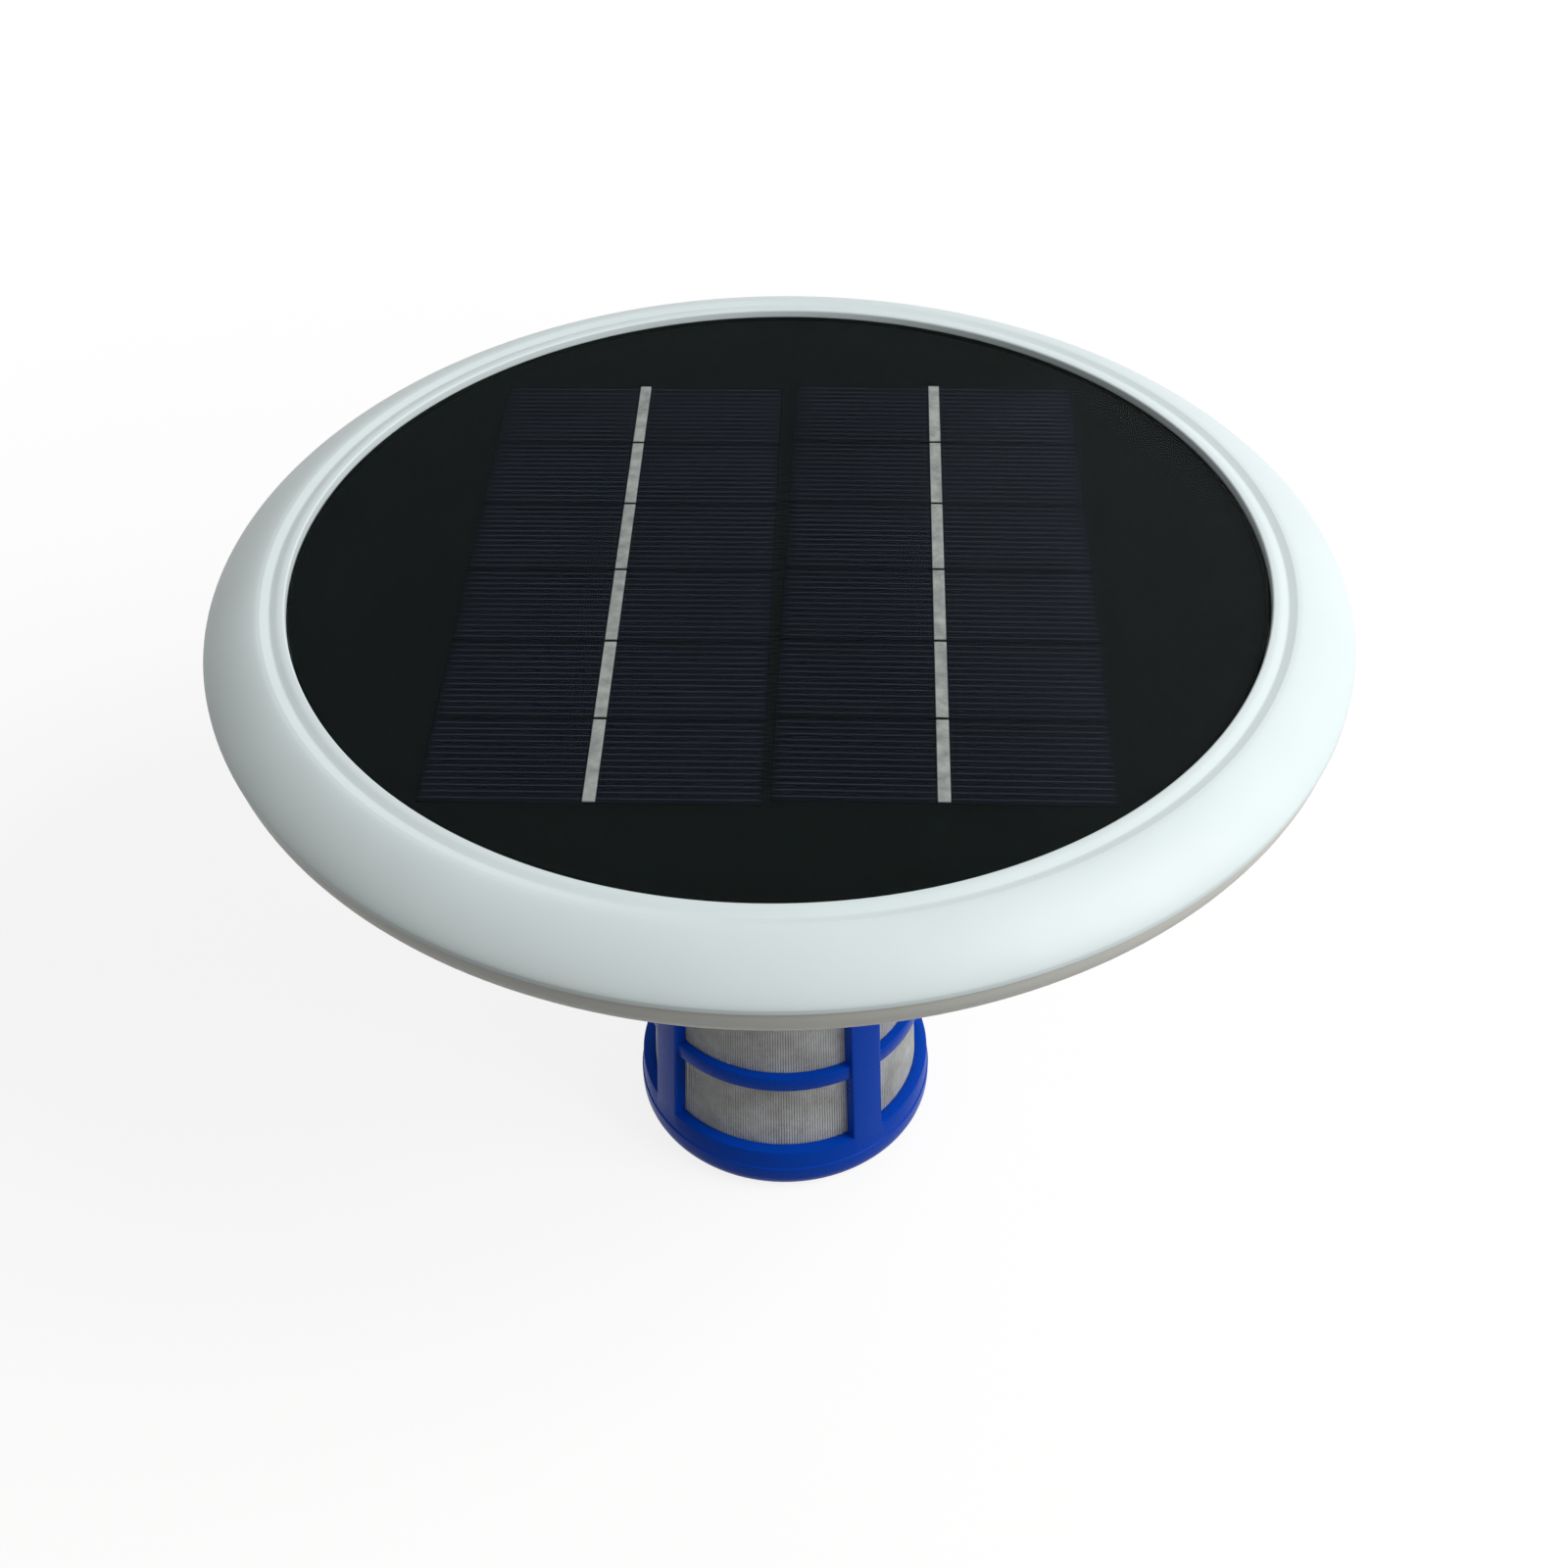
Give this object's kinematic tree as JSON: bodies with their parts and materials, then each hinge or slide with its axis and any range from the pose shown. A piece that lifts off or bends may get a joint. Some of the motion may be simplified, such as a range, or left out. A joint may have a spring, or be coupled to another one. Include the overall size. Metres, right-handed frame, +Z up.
{
  "type": "solar pool ionizer",
  "caption": "Floating solar pool ionizer: a round white float with a solar panel on top and a blue mesh basket below that cages a copper anode and its steel spring.",
  "frame": {"origin": "centre of the basket's foot, on the surface that the unit stands on", "axes": "+Z up towards the solar panel, front of the unit towards -Y"},
  "size_m": [0.2, 0.2, 0.14],
  "materials": {
    "cover_white": "glossy ABS moulding, soft satin highlight",
    "shell_white": "satin ABS moulding, slightly warmer than the cover",
    "panel_black": "black solder-masked board seen through the laminate",
    "cell_navy": "dark blue polycrystalline silicon with fine fingers",
    "ribbon_tin": "tinned copper ribbon, dull",
    "laminate_clear": "clear glossy laminate",
    "basket_blue": "glossy blue polypropylene moulding",
    "mesh_grey": "fine pale grey woven mesh",
    "seal_rubber": "dark grey silicone rubber",
    "steel": "stainless steel",
    "copper": "bare copper, lightly dulled",
    "brass": "bare brass",
    "box_black": "black moulded plastic",
    "wire_red": "red PVC insulation",
    "wire_black": "black PVC insulation"
  },
  "bodies": {
    "basket": {"basket_frame": "basket_blue", "side_mesh": "mesh_grey", "floor_mesh": "mesh_grey"},
    "float": {"upper_cover": "cover_white", "lower_shell": "shell_white", "seam_gasket": "seal_rubber", "shell_screws": "steel", "panel_board": "panel_black", "panel_sealant": "seal_rubber", "left_cells": "cell_navy", "right_cells": "cell_navy", "left_ribbons": "ribbon_tin", "right_ribbons": "ribbon_tin", "panel_laminate": "laminate_clear", "back_ribbons": "ribbon_tin", "junction_box": "box_black", "junction_lid": "box_black", "solder_tabs": "brass", "blocking_diode": "box_black", "red_wire": "wire_red", "black_wire": "wire_black", "anode_terminal": "brass", "cathode_terminal": "brass", "anode_stud": "steel", "stud_seal": "seal_rubber", "stud_nut": "steel", "anode_seal": "seal_rubber", "anode": "copper", "anode_washer": "steel", "anode_lock_nut": "steel", "cathode_post": "steel", "cathode_seal": "seal_rubber", "cathode_nut": "steel", "cathode_spring": "steel"},
    "nut": {"nut_washer": "steel"},
    "thumb_nut": {"thumb_nut": "basket_blue", "nut_insert": "brass"}
  },
  "joints": [
    {"name": "float_lift", "type": "slide", "parent": "basket", "child": "float", "axis": [0, 0, 1], "range_m": [0, 0.085]},
    {"name": "nut_travel", "type": "slide", "parent": "basket", "child": "nut", "axis": [0, 0, -1], "range_m": [0, 0.005]},
    {"name": "nut_turn", "type": "hinge", "parent": "nut", "child": "thumb_nut", "pos_m": [0, 0, 0.004], "axis": [0, 0, -1], "range_deg": [0, 1800]}
  ],
  "couplings": [
    {"joint": "nut_travel", "follows": "nut_turn", "m_per_rad": 0.00015915}
  ]
}
